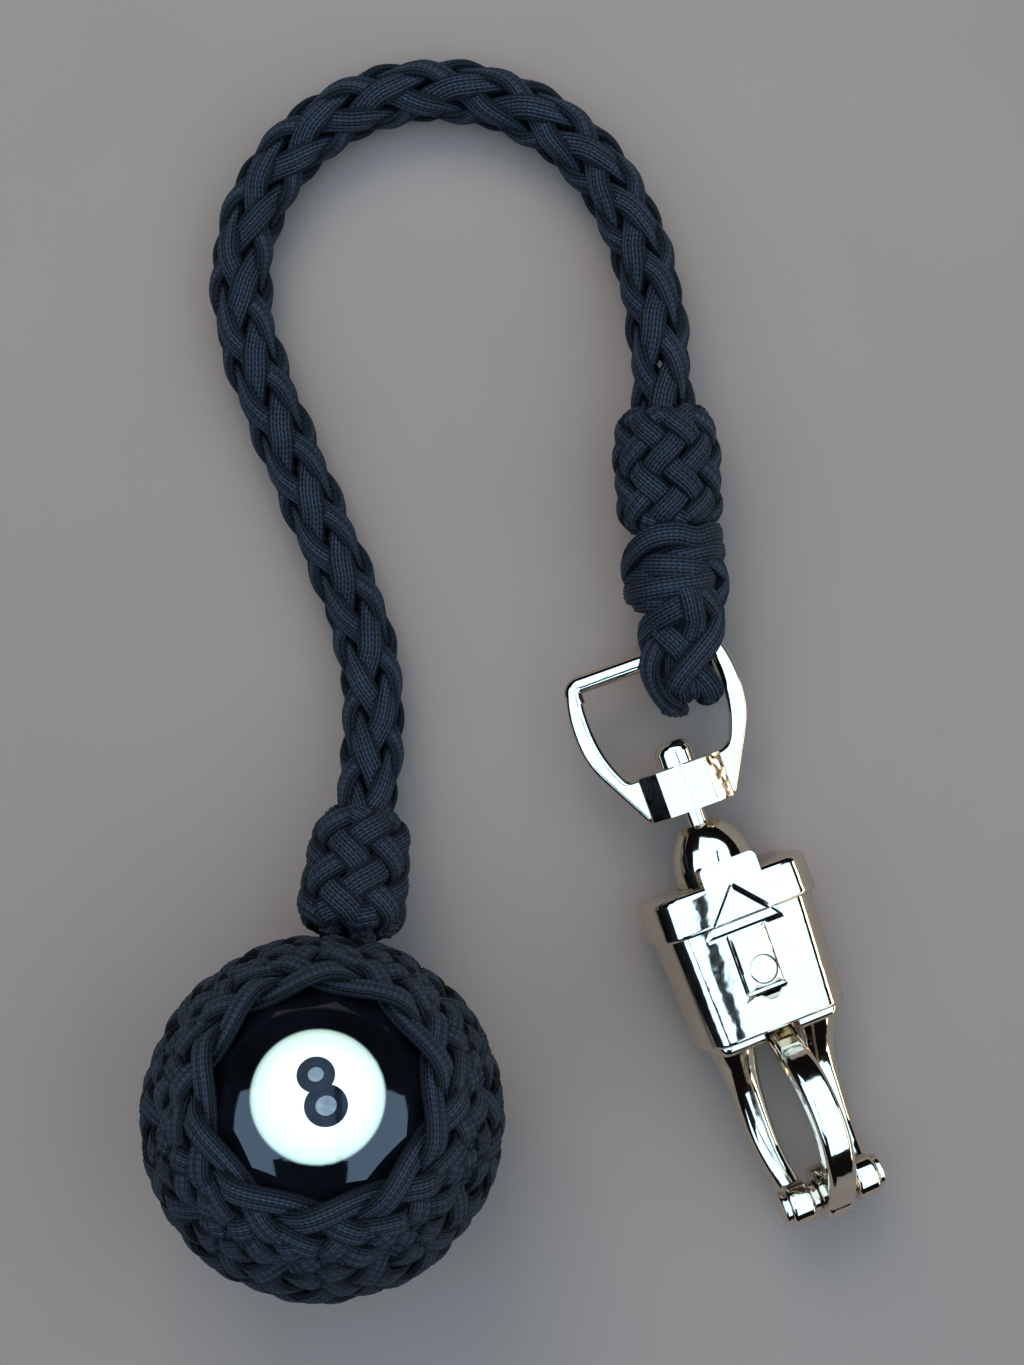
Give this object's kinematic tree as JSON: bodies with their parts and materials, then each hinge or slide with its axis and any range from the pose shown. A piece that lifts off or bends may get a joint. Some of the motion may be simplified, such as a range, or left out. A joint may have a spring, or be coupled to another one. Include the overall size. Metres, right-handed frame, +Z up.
{
  "type": "pool ball lanyard",
  "caption": "Numbered pool ball in a knotted cord cover, on a braided cord lanyard that ends in a swivel eye and a quick-release snap with a spring sleeve.",
  "frame": {"origin": "the point on the surface below the ball's centre, where the ball rests", "axes": "+Z up from the surface the object lies on; +Y from the ball towards its lanyard, 6.9 degrees off the cord's exit; +X towards the snap"},
  "size_m": [0.135, 0.2261, 0.0571],
  "materials": {
    "ball": "polished phenolic",
    "spot": "polished phenolic",
    "cord": "woven nylon sheath",
    "nickel": "bright nickel plate",
    "spring_steel": "drawn wire"
  },
  "bodies": {
    "leash": {"ball_body": "ball", "number_spot_front": "spot", "number_spot_back": "spot", "ball_cover": "cord", "cover_neck": "cord", "lower_knot": "cord", "lanyard_braid": "cord", "upper_knot": "cord", "stopper_knot": "cord", "end_loop": "cord"},
    "eye": {"swivel_eye": "nickel"},
    "snap": {"snap_frame": "nickel", "swivel_post": "nickel", "return_spring": "spring_steel", "jaw_pin": "nickel", "jaw_pin_washer": "nickel", "spacer_left": "nickel", "spacer_right": "nickel"},
    "sleeve": {"sleeve": "nickel", "guide_pin": "nickel"},
    "jaw": {"hook_jaw": "nickel"}
  },
  "joints": [
    {"name": "eye_tilt", "type": "hinge", "parent": "leash", "child": "eye", "pos_m": [0.05745, 0.08092, 0.01124], "axis": [0.9415, 0.3371, 0], "range_deg": [-90, 90]},
    {"name": "swivel_turn", "type": "hinge", "parent": "eye", "child": "snap", "pos_m": [0.0677, 0.0523, 0.01124], "axis": [0.3371, -0.9415, 0], "continuous": true},
    {"name": "sleeve_pull", "type": "slide", "parent": "snap", "child": "sleeve", "axis": [-0.3371, 0.9415, 0], "range_m": [0, 0.008], "stiffness_N_per_m": 400, "springref_m": -0.004, "deforming": ["return_spring"]},
    {"name": "jaw_swing", "type": "hinge", "parent": "snap", "child": "jaw", "pos_m": [0.09224, -0.01624, 0.01124], "axis": [0.9173, 0.3285, -0.225], "range_deg": [0, 110]}
  ],
  "couplings": [
    {"joint": "jaw_swing", "follows": "sleeve_pull", "rad_per_m": 239.98}
  ]
}
